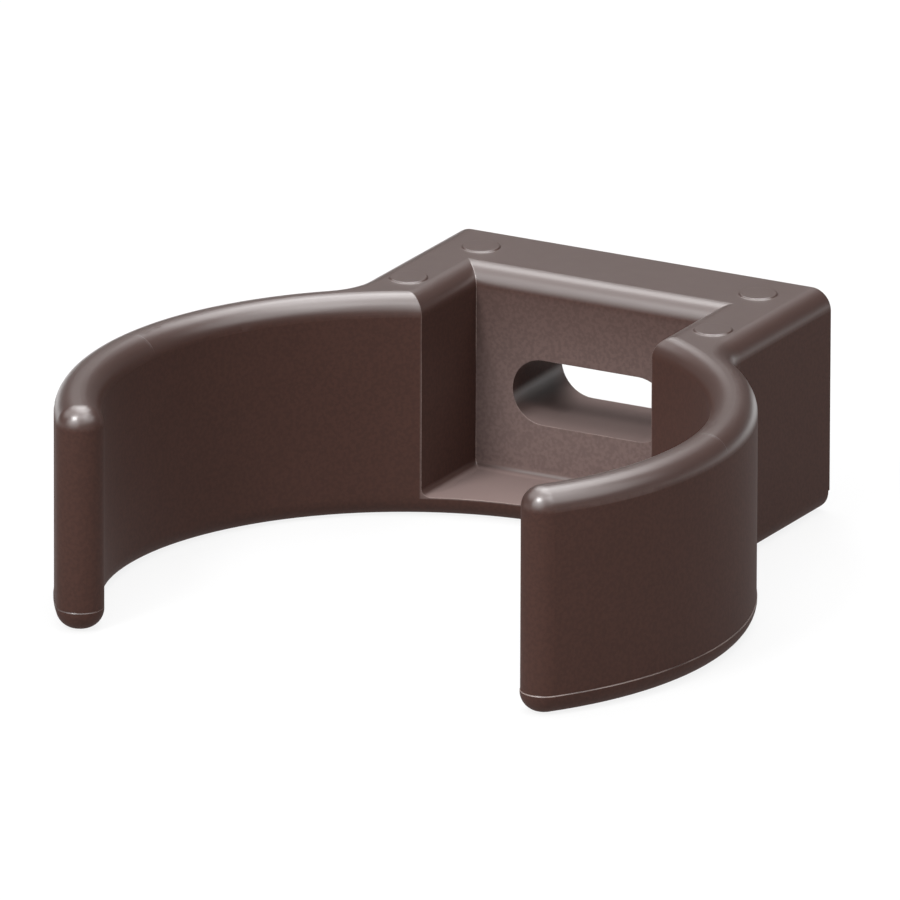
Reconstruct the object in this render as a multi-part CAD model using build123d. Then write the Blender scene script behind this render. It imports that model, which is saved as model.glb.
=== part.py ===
from build123d import *
import math
import os

# A one-piece pipe clip in mm: +X runs along the wall, +Y points to the wall and +Z up along the pipe.
# The pipe's axis is x = y = 0, and z = 0 is half way up the clip.

# Ring that snaps round the pipe
pipe_diameter = 53.0
ring_wall = 4.2
clip_height = 20.4
mouth_angle = 36.4  # degrees from the +X axis down to the middle of an arm's round end
crest_flat = 0.4  # width left flat on the top of the ring, between its two roundings
foot_flat = 0.7  # the same under the ring

# Block that holds the ring off the wall
pocket_width = 23.0
pocket_depth = 7.4  # from the pipe seat to the pocket's back wall
cheek_width = 7.5  # solid at each side of the pocket
back_wall = 9.4
root_blend = 5.0  # where the ring runs into the block's sides
floor_land = 0.1  # upright strip of the floor's front edge, above its rounding
pocket_foot_round = 0.8

# Screw slot through the back wall, drafted so that it opens towards the wall
slot_length = 15.6
slot_width = 6.0
slot_draft = 1.0  # degrees
slot_drop = 0.45  # how far the slot sits below half height

# Line where the two halves of the mould meet, level with the pocket's floor
ring_ledge = 0.06  # the lower half stands this far out of the ring and of the arms' ends
wall_inset = 0.22  # and this far inside the wall face

# Marks of the ejector pins on the block's top
pin_diameter = 3.5
pin_height = 0.12  # with a rim that slopes at 45 degrees
pin_pair_pitch = 10.95
back_pin_from_wall = 4.1
back_pin_from_side = 5.1

seat_r = pipe_diameter / 2
outer_r = seat_r + ring_wall
top_z = clip_height / 2
bottom_z = -top_z
top_round = (ring_wall - crest_flat) / 2
bottom_round = (ring_wall - foot_flat) / 2
parting_z = bottom_z + bottom_round + floor_land
pocket_back = seat_r + pocket_depth
wall_face = pocket_back + back_wall
half_block = pocket_width / 2 + cheek_width


def on_circle(radius, degrees):
    """Point at this radius and angle about the pipe's axis."""
    angle = math.radians(degrees)
    return radius * math.cos(angle), radius * math.sin(angle)


def ring_outline(outside_r, end_angle):
    """Open ring seen along the pipe, with a half circle at the end of each arm."""
    middle_r = (seat_r + outside_r) / 2
    end_r = (outside_r - seat_r) / 2
    tip_angle = end_angle + math.degrees(math.atan(end_r / middle_r))
    tip_r = math.hypot(middle_r, end_r)
    right, left = -end_angle, 180 + end_angle
    edges = [
        ThreePointArc(on_circle(outside_r, right), (0, outside_r), on_circle(outside_r, left)),
        ThreePointArc(on_circle(outside_r, left), on_circle(tip_r, 180 + tip_angle), on_circle(seat_r, left)),
        ThreePointArc(on_circle(seat_r, left), (0, seat_r), on_circle(seat_r, right)),
        ThreePointArc(on_circle(seat_r, right), on_circle(tip_r, -tip_angle), on_circle(outside_r, right)),
    ]
    return make_face(edges)


def clip_outline(outside_r, end_angle, back_y):
    """Ring and block seen along the pipe, blended where the ring's outside meets the block's sides."""
    block = Pos(0, back_y / 2) * Rectangle(2 * half_block, back_y) - Circle(seat_r)
    outline = ring_outline(outside_r, end_angle) + block
    roots = outline.vertices().group_by(Axis.Y)[-2]
    return fillet(roots, root_blend)


def slab(outline, low_z, high_z):
    """Outline carried straight up from one level to another."""
    return extrude(Pos(0, 0, low_z) * outline, high_z - low_z)


def rounded(face, radius):
    """Rounds the edges of one flat face except the edge that lies on the wall side, which stays sharp."""
    return fillet(face.edges().sort_by(Axis.Y)[:-1], radius)


# Lower half of the mould: the ring's foot, the block's foot and the pocket's floor
foot_back = wall_face - wall_inset
foot_outer_r = outer_r + ring_ledge
foot_angle = mouth_angle + math.degrees(ring_ledge / 2 / outer_r)
foot = slab(clip_outline(foot_outer_r, foot_angle, foot_back), bottom_z, parting_z)
foot = rounded(foot.faces().sort_by(Axis.Z)[0], bottom_round)

# Upper half, with the pocket open to the top and to the pipe
pocket = slab(Pos(0, pocket_back / 2) * Rectangle(pocket_width, pocket_back), parting_z, top_z)
pocket_floor = pocket.faces().sort_by(Axis.Z)[0]
pocket = fillet(pocket_floor.edges().sort_by(Axis.Y)[1:], pocket_foot_round)
body = slab(clip_outline(outer_r, mouth_angle, wall_face), parting_z, top_z) - pocket
body = rounded(body.faces().sort_by(Axis.Z)[-1], top_round)
clip = body + foot

# Screw slot
slot_mouth = Plane(origin=(0, pocket_back, -slot_drop), x_dir=(1, 0, 0), z_dir=(0, 1, 0))
clip -= extrude(slot_mouth * SlotOverall(slot_length, slot_width), back_wall, taper=-slot_draft)

# Ejector pin marks
back_pin = (half_block - back_pin_from_side, wall_face - back_pin_from_wall)
front_pin = (half_block - cheek_width / 2, back_pin[1] - pin_pair_pitch)
pin_mark = Cone(pin_diameter / 2 + pin_height, pin_diameter / 2 - pin_height, 2 * pin_height)
for pin_x, pin_y in (back_pin, front_pin):
    for side in (-1, 1):
        clip += Pos(side * pin_x, pin_y, top_z) * pin_mark

os.makedirs("parts", exist_ok=True)
export_step(clip, "parts/downpipe_clip.step")
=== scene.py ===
"""Looks of a one-piece downpipe clip: its moulded plastic, and the floor, lamps and camera it is seen with.

Lengths are in millimetres where a name ends in _mm, and in metres elsewhere, as in the frame.
The clip stands on the floor with its pipe axis upright, the block's wall side towards +Y and the ring's mouth
towards -Y.
"""

import logging
import math
from dataclasses import dataclass, field
from enum import Enum

import bpy
from mathutils import Matrix, Vector


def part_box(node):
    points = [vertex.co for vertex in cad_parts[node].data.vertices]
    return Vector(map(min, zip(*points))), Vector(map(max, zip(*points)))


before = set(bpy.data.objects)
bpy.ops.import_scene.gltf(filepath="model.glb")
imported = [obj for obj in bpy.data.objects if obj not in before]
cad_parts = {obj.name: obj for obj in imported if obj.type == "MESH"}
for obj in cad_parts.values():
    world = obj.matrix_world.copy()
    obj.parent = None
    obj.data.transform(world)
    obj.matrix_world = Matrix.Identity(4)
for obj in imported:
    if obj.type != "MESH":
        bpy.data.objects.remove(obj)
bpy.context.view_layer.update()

LOG = logging.getLogger("downpipe_clip")
CLIP_NODE = "downpipe_clip"
MM = 0.001
WHITE = (1.0, 1.0, 1.0, 1.0)

Tree = bpy.types.NodeTree
Socket = bpy.types.NodeSocket


class Backing(Enum):
    """What stands behind the clip, by the rays that see it as plain white."""

    CAMERA = "Is Camera Ray"
    GLOSS = "Is Glossy Ray"
    GLASS = "Is Transmission Ray"


def linear(hex_colour: str) -> tuple[float, float, float, float]:
    """Turns an sRGB hex colour to Blender's linear one.

    Args:
        hex_colour: six hex digits, with or without a leading #.

    Returns:
        Red, green, blue and an alpha of 1.
    """
    digits = hex_colour.lstrip("#")
    parts = [int(digits[i : i + 2], 16) / 255 for i in (0, 2, 4)]
    red, green, blue = (c / 12.92 if c <= 0.04045 else ((c + 0.055) / 1.055) ** 2.4 for c in parts)
    return red, green, blue, 1.0


def add_node(
    tree: Tree, kind: str, settings: dict | None = None, links: dict | None = None
) -> bpy.types.Node:
    """Adds a node with its settings and what feeds it.

    Args:
        tree: the node tree it goes into.
        kind: Blender's name for the node's type.
        settings: a value for each input socket or, where no input has that name, for each property.
        links: the output socket that feeds each input, by the input's name or number.

    Returns:
        The new node.
    """
    node = tree.nodes.new(kind)
    for name, value in (settings or {}).items():
        if isinstance(name, int) or name in node.inputs:
            node.inputs[name].default_value = value
        else:
            setattr(node, name, value)
    for name, output in (links or {}).items():
        tree.links.new(output, node.inputs[name])
    return node


@dataclass(frozen=True)
class Fade:
    """A share that grows softly from 0 at one value to 1 at another."""

    none: float
    full: float

    def settings(self, unit: float = 1.0) -> dict[str, str | float]:
        """Gives the settings of a Map Range node that turns a value to the share.

        Args:
            unit: the unit of the two values, such as MM.

        Returns:
            The node's settings.
        """
        return {
            "interpolation_type": "SMOOTHSTEP",
            "From Min": self.none * unit,
            "From Max": self.full * unit,
        }


@dataclass(frozen=True)
class Canvas:
    """What a finish is built on.

    The tree takes the nodes, place gives coordinates on the part in metres, skin the surface direction, and
    edge the surface direction with sharp edges softened.
    """

    tree: Tree
    place: Socket
    skin: Socket
    edge: Socket


@dataclass(frozen=True)
class Zones:
    """Where the mould's skins and the pocket's painted light lie on the part, each as a share from 0 to 1."""

    top: Socket
    wall: Socket
    core: Socket


@dataclass(frozen=True)
class Relief:
    """A fine pattern pressed into the skin of the plastic by the mould."""

    pitch_mm: float
    depth_mm: float
    detail: float = 1.0
    drawn: float = 1.0

    def build(self, canvas: Canvas, normal: Socket, share: Socket | None = None) -> Socket:
        """Adds the pattern on top of the relief so far.

        Args:
            canvas: what the finish is built on.
            normal: the surface direction with the relief so far.
            share: how strong the pattern is from place to place, or None where it is even.

        Returns:
            The surface direction with this pattern in it.
        """
        links = {"Height": self.pattern(canvas), "Normal": normal}
        if share is not None:
            links["Strength"] = share
        settings = {"Distance": self.depth_mm * MM, "Strength": 1.0}
        return add_node(canvas.tree, "ShaderNodeBump", settings, links).outputs["Normal"]

    def pattern(self, canvas: Canvas) -> Socket:
        """Adds the pattern's heights, drawn out along Z.

        Args:
            canvas: what the finish is built on.

        Returns:
            Heights from 0 to 1.
        """
        per_metre = 1 / (self.pitch_mm * MM)
        scaled = add_node(
            canvas.tree,
            "ShaderNodeVectorMath",
            {"operation": "MULTIPLY", 1: (per_metre, per_metre, per_metre / self.drawn)},
            {0: canvas.place},
        )
        return add_node(
            canvas.tree,
            "ShaderNodeTexNoise",
            {"Scale": 1.0, "Detail": self.detail, "Roughness": 0.5},
            {"Vector": scaled.outputs[0]},
        ).outputs["Fac"]


@dataclass(frozen=True)
class MouldedPlastic:
    """Chocolate-brown PVC-U, injection moulded in a steel mould and left as it came out."""

    name: str = "moulded_pvc_brown"

    # PVC-U pigmented through gives an even, opaque dark brown with only faint clouds and a fine speckle.
    colour: str = "#41261e"
    cloud_colour: str = "#482c24"
    cloud_mm: float = 7.0
    speckle: float = 0.09
    speckle_span: tuple[float, float] = (0.4, 0.6)

    # The pocket's floor, back wall and slot are painted paler, as painted light and sheen, and are dull.
    pocket_light_colour: str = "#887571"
    pocket_roughness: float = 1.0

    # Sharp edges are a little blunt, with a pale painted highlight in patches along them, none at the top's
    # height.
    edge_glint_colour: str = "#b39d95"
    edge_round_mm: float = 0.13
    edge_glint_turn: Fade = Fade(0.99, 0.8)
    edge_glint_clouds: Fade = Fade(0.3, 0.6)
    edge_glint_height_mm: Fade = Fade(10.15, 10.05)
    edge_samples: int = 6

    # PVC's IOR is 1.54. Spark-eroded steel leaves the walls dull, with weaker gloss than a smooth face has.
    ior: float = 1.54
    specular_level: float = 0.36
    wall_roughness: float = 0.8

    # Polished steel leaves the tops satin, a skin that the coat stands for. Its IOR is above the plastic's
    # own, to match the strength of the highlights.
    coat_ior: float = 2.1
    coat_roughness: float = 0.33
    top_roughness: float = 0.36
    gloss_drift: float = 0.03
    gloss_drift_mm: float = 2.6
    gloss_span: tuple[float, float] = (0.3, 0.7)

    # Spark-eroded grain is 0.05 to 0.1 mm across, too fine to show. It is drawn at 0.34 mm.
    grain: Relief = Relief(0.34, 0.006, detail=2.0)

    # Faint ripples of the melt lie all over. Drag marks on the walls run the way the part left the mould.
    peel: Relief = Relief(2.2, 0.005)
    streaks: Relief = Relief(0.4, 0.005, drawn=20.0)

    # How far up a face looks tells its skin: a top looks up, and a wall looks level or down.
    top_slope: Fade = Fade(0.0, 0.55)
    wall_slope: Fade = Fade(0.6, 0.0)

    # The painted light lies on pocket faces that look up or to the pipe, paler down the back wall.
    pocket_slope: Fade = Fade(0.5, 0.95)
    pocket_wall_share: float = 0.8
    pocket_side_mm: Fade = Fade(11.7, 11.5)
    pocket_front_mm: Fade = Fade(22.0, 22.5)
    pocket_top_mm: Fade = Fade(9.2, 7.9)
    pocket_height_mm: Fade = Fade(17.2, -6.35)
    pocket_floor_mm: Fade = Fade(-8.55, -8.4)

    # Two mould inserts meet in a thin line across the tops of the arms.
    joint_y_mm: float = 2.35
    joint_half_mm: Fade = Fade(0.08, 0.0)
    joint_depth_mm: float = 0.02

    def build(self) -> bpy.types.Material:
        """Makes the material.

        Returns:
            The finished material.
        """
        material = bpy.data.materials.new(self.name)
        material.use_nodes = True
        tree = material.node_tree
        tree.nodes.clear()
        blunt = {"samples": self.edge_samples, "Radius": self.edge_round_mm * MM}
        canvas = Canvas(
            tree,
            place=add_node(tree, "ShaderNodeTexCoord").outputs["Object"],
            skin=add_node(tree, "ShaderNodeNewGeometry").outputs["Normal"],
            edge=add_node(tree, "ShaderNodeBevel", blunt).outputs["Normal"],
        )
        zones = self.zones(canvas)
        normal = self.relief(canvas, zones)
        shader = add_node(
            tree,
            "ShaderNodeBsdfPrincipled",
            {
                "IOR": self.ior,
                "Specular IOR Level": self.specular_level,
                "Coat IOR": self.coat_ior,
                "Coat Roughness": self.coat_roughness,
            },
            {
                "Base Color": self.tint(canvas, zones),
                "Roughness": self.gloss(canvas, zones),
                "Coat Weight": zones.top,
                "Normal": normal,
                "Coat Normal": normal,
            },
        )
        add_node(tree, "ShaderNodeOutputMaterial", None, {"Surface": shader.outputs["BSDF"]})
        return material

    def zones(self, canvas: Canvas) -> Zones:
        """Tells the polished tops, the sparked walls and the pocket with its painted light apart.

        Sharp edges count by their softened direction, so those that turn up have the tops' gloss.

        Args:
            canvas: what the finish is built on.

        Returns:
            The share of each zone.
        """
        tree = canvas.tree
        height = add_node(tree, "ShaderNodeSeparateXYZ", None, {0: canvas.edge}).outputs["Z"]
        top = add_node(tree, "ShaderNodeMapRange", self.top_slope.settings(), {"Value": height})
        wall = add_node(tree, "ShaderNodeMapRange", self.wall_slope.settings(), {"Value": height})
        core = self.core(canvas)
        bare = add_node(
            tree,
            "ShaderNodeMath",
            {"operation": "SUBTRACT", "use_clamp": True},
            {0: top.outputs["Result"], 1: core},
        )
        return Zones(bare.outputs[0], wall.outputs["Result"], core)

    def core(self, canvas: Canvas) -> Socket:
        """Finds the pocket's floor, back wall and slot.

        Args:
            canvas: what the finish is built on.

        Returns:
            The share of the pocket's painted light and dull roughness.
        """
        tree = canvas.tree
        faces = add_node(tree, "ShaderNodeSeparateXYZ", None, {0: canvas.skin}).outputs
        place = add_node(tree, "ShaderNodeSeparateXYZ", None, {0: canvas.place}).outputs
        side = add_node(tree, "ShaderNodeMath", {"operation": "ABSOLUTE"}, {0: place["X"]}).outputs[0]
        front = add_node(
            tree, "ShaderNodeMath", {"operation": "MULTIPLY", 1: -self.pocket_wall_share}, {0: faces["Y"]}
        )
        facing = add_node(
            tree, "ShaderNodeMath", {"operation": "MAXIMUM"}, {0: faces["Z"], 1: front.outputs[0]}
        )
        share = add_node(
            tree, "ShaderNodeMapRange", self.pocket_slope.settings(), {"Value": facing.outputs[0]}
        ).outputs["Result"]
        limits = (
            (self.pocket_side_mm, side),
            (self.pocket_front_mm, place["Y"]),
            (self.pocket_top_mm, place["Z"]),
            (self.pocket_height_mm, place["Z"]),
            (self.pocket_floor_mm, place["Z"]),
        )
        for fade, value in limits:
            within = add_node(tree, "ShaderNodeMapRange", fade.settings(MM), {"Value": value})
            share = add_node(
                tree, "ShaderNodeMath", {"operation": "MULTIPLY"}, {0: share, 1: within.outputs["Result"]}
            ).outputs[0]
        return share

    def tint(self, canvas: Canvas, zones: Zones) -> Socket:
        """Colours the plastic: cloudy, finely speckled, with painted light in the pocket and along sharp
        edges.

        Args:
            canvas: what the finish is built on.
            zones: the share of each zone.

        Returns:
            The base colour.
        """
        tree = canvas.tree
        clouds = add_node(
            tree,
            "ShaderNodeTexNoise",
            {"Scale": 1 / (self.cloud_mm * MM), "Detail": 3.0, "Roughness": 0.6},
            {"Vector": canvas.place},
        ).outputs["Fac"]
        body = add_node(
            tree,
            "ShaderNodeMix",
            {"data_type": "RGBA", 6: linear(self.colour), 7: linear(self.cloud_colour)},
            {0: clouds},
        ).outputs[2]
        # Painted light: the pocket is painted paler, and sharp edges get a pale painted highlight.
        layers = ((zones.core, self.pocket_light_colour), (self.edge_glint(canvas, clouds), self.edge_glint_colour))
        for share, colour in layers:
            body = add_node(
                tree, "ShaderNodeMix", {"data_type": "RGBA", 7: linear(colour)}, {0: share, 6: body}
            ).outputs[2]
        darkest, lightest = self.speckle_span
        speckle = add_node(
            tree,
            "ShaderNodeMapRange",
            {
                "From Min": darkest,
                "From Max": lightest,
                "To Min": 1 - self.speckle,
                "To Max": 1 + self.speckle,
            },
            {"Value": self.grain.pattern(canvas)},
        )
        return add_node(
            tree,
            "ShaderNodeHueSaturation",
            None,
            {"Color": body, "Value": speckle.outputs["Result"], "Fac": zones.wall},
        ).outputs[0]

    def edge_glint(self, canvas: Canvas, clouds: Socket) -> Socket:
        """Finds the sharp edges that get the painted highlight, in patches and not on the pin marks' rims.

        Args:
            canvas: what the finish is built on.
            clouds: the pigment's clouds, which also set the patches.

        Returns:
            The share of the painted highlight.
        """
        tree = canvas.tree
        turned = add_node(
            tree, "ShaderNodeVectorMath", {"operation": "DOT_PRODUCT"}, {0: canvas.edge, 1: canvas.skin}
        ).outputs["Value"]
        height = add_node(tree, "ShaderNodeSeparateXYZ", None, {0: canvas.place}).outputs["Z"]
        share = add_node(
            tree, "ShaderNodeMapRange", self.edge_glint_turn.settings(), {"Value": turned}
        ).outputs["Result"]
        limits = (
            (self.edge_glint_clouds.settings(), clouds),
            (self.edge_glint_height_mm.settings(MM), height),
        )
        for settings, value in limits:
            within = add_node(tree, "ShaderNodeMapRange", settings, {"Value": value})
            share = add_node(
                tree, "ShaderNodeMath", {"operation": "MULTIPLY"}, {0: share, 1: within.outputs["Result"]}
            ).outputs[0]
        return share

    def gloss(self, canvas: Canvas, zones: Zones) -> Socket:
        """Sets the roughness: satin tops, duller walls, dull pocket, and a slight drift from place to place.

        Args:
            canvas: what the finish is built on.
            zones: the share of each zone.

        Returns:
            The roughness.
        """
        tree = canvas.tree
        drift = add_node(
            tree,
            "ShaderNodeTexNoise",
            {"Scale": 1 / (self.gloss_drift_mm * MM), "Detail": 1.0},
            {"Vector": canvas.place},
        )
        least, most = self.gloss_span
        roughness = add_node(
            tree,
            "ShaderNodeMapRange",
            {
                "From Min": least,
                "From Max": most,
                "To Min": self.top_roughness - self.gloss_drift,
                "To Max": self.top_roughness + self.gloss_drift,
            },
            {"Value": drift.outputs["Fac"]},
        ).outputs["Result"]
        for share, dull in ((zones.wall, self.wall_roughness), (zones.core, self.pocket_roughness)):
            roughness = add_node(
                tree, "ShaderNodeMix", {"data_type": "FLOAT", 3: dull}, {0: share, 2: roughness}
            ).outputs[0]
        return roughness

    def relief(self, canvas: Canvas, zones: Zones) -> Socket:
        """Lays the mould's fine relief over the part.

        Args:
            canvas: what the finish is built on.
            zones: the share of each zone.

        Returns:
            The surface direction with all relief.
        """
        normal = self.peel.build(canvas, canvas.edge)
        normal = self.streaks.build(canvas, normal, zones.wall)
        normal = self.grain.build(canvas, normal, zones.wall)
        return self.insert_line(canvas, normal, zones.top)

    def insert_line(self, canvas: Canvas, normal: Socket, top: Socket) -> Socket:
        """Adds the thin line that two mould inserts leave across the top of the arms.

        Args:
            canvas: what the finish is built on.
            normal: the surface direction with the relief so far.
            top: the share of top.

        Returns:
            The surface direction with the line in it.
        """
        tree = canvas.tree
        axes = add_node(tree, "ShaderNodeSeparateXYZ", None, {0: canvas.place})
        past = add_node(
            tree,
            "ShaderNodeMath",
            {"operation": "SUBTRACT", 1: self.joint_y_mm * MM},
            {0: axes.outputs["Y"]},
        )
        away = add_node(tree, "ShaderNodeMath", {"operation": "ABSOLUTE"}, {0: past.outputs[0]})
        ridge = add_node(
            tree, "ShaderNodeMapRange", self.joint_half_mm.settings(MM), {"Value": away.outputs[0]}
        )
        return add_node(
            tree,
            "ShaderNodeBump",
            {"Distance": self.joint_depth_mm * MM},
            {"Height": ridge.outputs["Result"], "Normal": normal, "Strength": top},
        ).outputs["Normal"]


@dataclass
class Clip:
    """The clip itself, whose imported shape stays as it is."""

    plastic: MouldedPlastic = field(default_factory=MouldedPlastic)

    def build(self) -> bpy.types.Object:
        """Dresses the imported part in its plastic.

        Returns:
            The dressed part.
        """
        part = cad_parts[CLIP_NODE]
        part.data.materials.clear()
        part.data.materials.append(self.plastic.build())
        return part


@dataclass(frozen=True)
class Softbox:
    """A round soft lamp, hung on a dome about the clip.

    The compass is 0 in front of the ring's mouth (-Y) and 90 on the clip's right (+X).
    White is how bright the lamp alone makes a white card that faces it.
    """

    name: str
    compass_deg: float
    height_deg: float
    half_width_deg: float
    white: float
    distance: float = 1.0

    def build(self) -> bpy.types.Object:
        """Hangs the lamp and turns it to the clip.

        Returns:
            The lamp.
        """
        compass, height = math.radians(self.compass_deg), math.radians(self.height_deg)
        away = Vector(
            (math.sin(compass) * math.cos(height), -math.cos(compass) * math.cos(height), math.sin(height))
        )
        flare = math.tan(math.radians(self.half_width_deg))
        lamp = bpy.data.lights.new(self.name, "AREA")
        lamp.shape = "DISK"
        lamp.size = 2 * flare * self.distance
        # A disc's light on a card that faces it falls off with its distance and its own width.
        lamp.energy = self.white * math.pi**2 * self.distance**2 * (1 + flare**2)
        holder = bpy.data.objects.new(self.name, lamp)
        holder.location = away * self.distance
        holder.rotation_euler = away.to_track_quat("Z", "Y").to_euler()
        holder.visible_camera = False
        bpy.context.scene.collection.objects.link(holder)
        return holder


@dataclass
class Studio:
    """Floor, lamps and the room's own light."""

    floor_z: float
    floor_half: float = 3.0

    # Uncoated backdrop paper: matte, and grey enough that it lifts the clip's shadows only as the photograph
    # shows. The rays of Backing see it paler and mostly as plain white, which keeps a soft shadow.
    paper: str = "#989898"
    paper_seen: str = "#f2f2f2"
    backing_share: float = 0.85
    room: float = 0.1
    softboxes: tuple[Softbox, ...] = (
        Softbox("zenith", 60, 80, 26, 0.3),
        Softbox("behind_high", 190, 66, 20, 0.3),
        Softbox("behind", 216, 48, 18, 0.19),
        Softbox("left", 275, 52, 24, 0.18),
        Softbox("front", 345, 52, 7, 0.4),
        Softbox("front_right", 45, 45, 24, 0.12),
        Softbox("right", 95, 50, 24, 0.19),
        Softbox("low_front", 350, 23, 26, 0.36),
    )

    def build(self) -> None:
        """Sets up the studio."""
        self.build_floor()
        for softbox in self.softboxes:
            softbox.build()
        world = bpy.data.worlds.new("studio")
        world.use_nodes = True
        background = world.node_tree.nodes["Background"]
        background.inputs["Color"].default_value = WHITE
        background.inputs["Strength"].default_value = self.room
        bpy.context.scene.world = world

    def build_floor(self) -> bpy.types.Object:
        """Lays pale paper under the clip.

        Returns:
            The floor.
        """
        half = self.floor_half
        mesh = bpy.data.meshes.new("floor")
        corners = ((-half, -half), (half, -half), (half, half), (-half, half))
        mesh.from_pydata([(x, y, self.floor_z) for x, y in corners], [], [(0, 1, 2, 3)])
        mesh.materials.append(self.build_paper())
        floor = bpy.data.objects.new("floor", mesh)
        bpy.context.scene.collection.objects.link(floor)
        return floor

    def build_paper(self) -> bpy.types.Material:
        """Makes the floor's paper, seen nearly white, which keeps the clip's shadow.

        Returns:
            The finished material.
        """
        material = bpy.data.materials.new("pale_paper")
        material.use_nodes = True
        tree = material.node_tree
        tree.nodes.clear()
        rays = add_node(tree, "ShaderNodeLightPath").outputs
        seen = rays[Backing.CAMERA.value]
        for backing in (Backing.GLOSS, Backing.GLASS):
            seen = add_node(
                tree,
                "ShaderNodeMath",
                {"operation": "ADD", "use_clamp": True},
                {0: seen, 1: rays[backing.value]},
            ).outputs[0]
        share = add_node(tree, "ShaderNodeMath", {"operation": "MULTIPLY", 1: self.backing_share}, {0: seen})
        shade = add_node(
            tree,
            "ShaderNodeMix",
            {"data_type": "RGBA", 6: linear(self.paper), 7: linear(self.paper_seen)},
            {0: seen},
        )
        matte = add_node(tree, "ShaderNodeBsdfDiffuse", None, {"Color": shade.outputs[2]})
        white = add_node(tree, "ShaderNodeEmission", {"Color": WHITE, "Strength": 1.0})
        surface = add_node(
            tree,
            "ShaderNodeMixShader",
            None,
            {0: share.outputs[0], 1: matte.outputs[0], 2: white.outputs[0]},
        )
        add_node(tree, "ShaderNodeOutputMaterial", None, {"Surface": surface.outputs[0]})
        return material


@dataclass(frozen=True)
class Viewpoint:
    """Long lens at the photograph's viewing angle, over a 900 by 900 frame."""

    turn_deg: float = 28.619
    down_deg: float = 18.313
    roll_deg: float = 0.18

    # A longer lens from farther off fits as well, but other views keep the lens and would lose the clip.
    distance: float = 2.4
    pixels_per_mm: float = 11.444
    foot_x_px: float = 405.243
    foot_y_px: float = 613.133
    frame_px: float = 900.0
    sensor_mm: float = 36.0
    nearest: float = 0.1
    farthest: float = 50.0

    def build(self, floor_z: float) -> bpy.types.Object:
        """Sets up the camera.

        Args:
            floor_z: height of the point under the pipe's axis that the foot pixel shows.

        Returns:
            The camera.
        """
        turn, down, roll = (math.radians(a) for a in (self.turn_deg, self.down_deg, self.roll_deg))
        level = Vector((math.cos(turn), math.sin(turn), 0))
        ahead = Vector((-math.sin(turn) * math.cos(down), math.cos(turn) * math.cos(down), -math.sin(down)))
        upright = level.cross(ahead)
        right = level * math.cos(roll) + upright * math.sin(roll)
        up = upright * math.cos(roll) - level * math.sin(roll)
        centre = self.frame_px / 2
        across = (self.foot_x_px - centre) / self.pixels_per_mm * MM
        raised = (centre - self.foot_y_px) / self.pixels_per_mm * MM
        eye = Vector((0, 0, floor_z)) - right * across - up * raised - ahead * self.distance
        data = bpy.data.cameras.new("photo_view")
        data.sensor_width = self.sensor_mm
        data.lens = self.pixels_per_mm / MM * self.distance / self.frame_px * self.sensor_mm
        data.clip_start = self.nearest
        data.clip_end = self.farthest
        camera = bpy.data.objects.new("photo_view", data)
        turned = Matrix((right, up, -ahead)).transposed()
        camera.matrix_world = Matrix.Translation(eye) @ turned.to_4x4()
        bpy.context.scene.collection.objects.link(camera)
        bpy.context.scene.camera = camera
        return camera


def main() -> None:
    """Builds the scene piece by piece."""
    logging.basicConfig(level=logging.INFO)
    floor_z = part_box(CLIP_NODE)[0].z
    clip = Clip().build()
    LOG.info("clip: %s faces", len(clip.data.polygons))
    studio = Studio(floor_z)
    studio.build()
    LOG.info("studio: %s softboxes", len(studio.softboxes))
    camera = Viewpoint().build(floor_z)
    LOG.info("camera: %.0f mm lens", camera.data.lens)
    bpy.context.scene.view_settings.view_transform = "Standard"


if __name__ == "__main__":
    main()
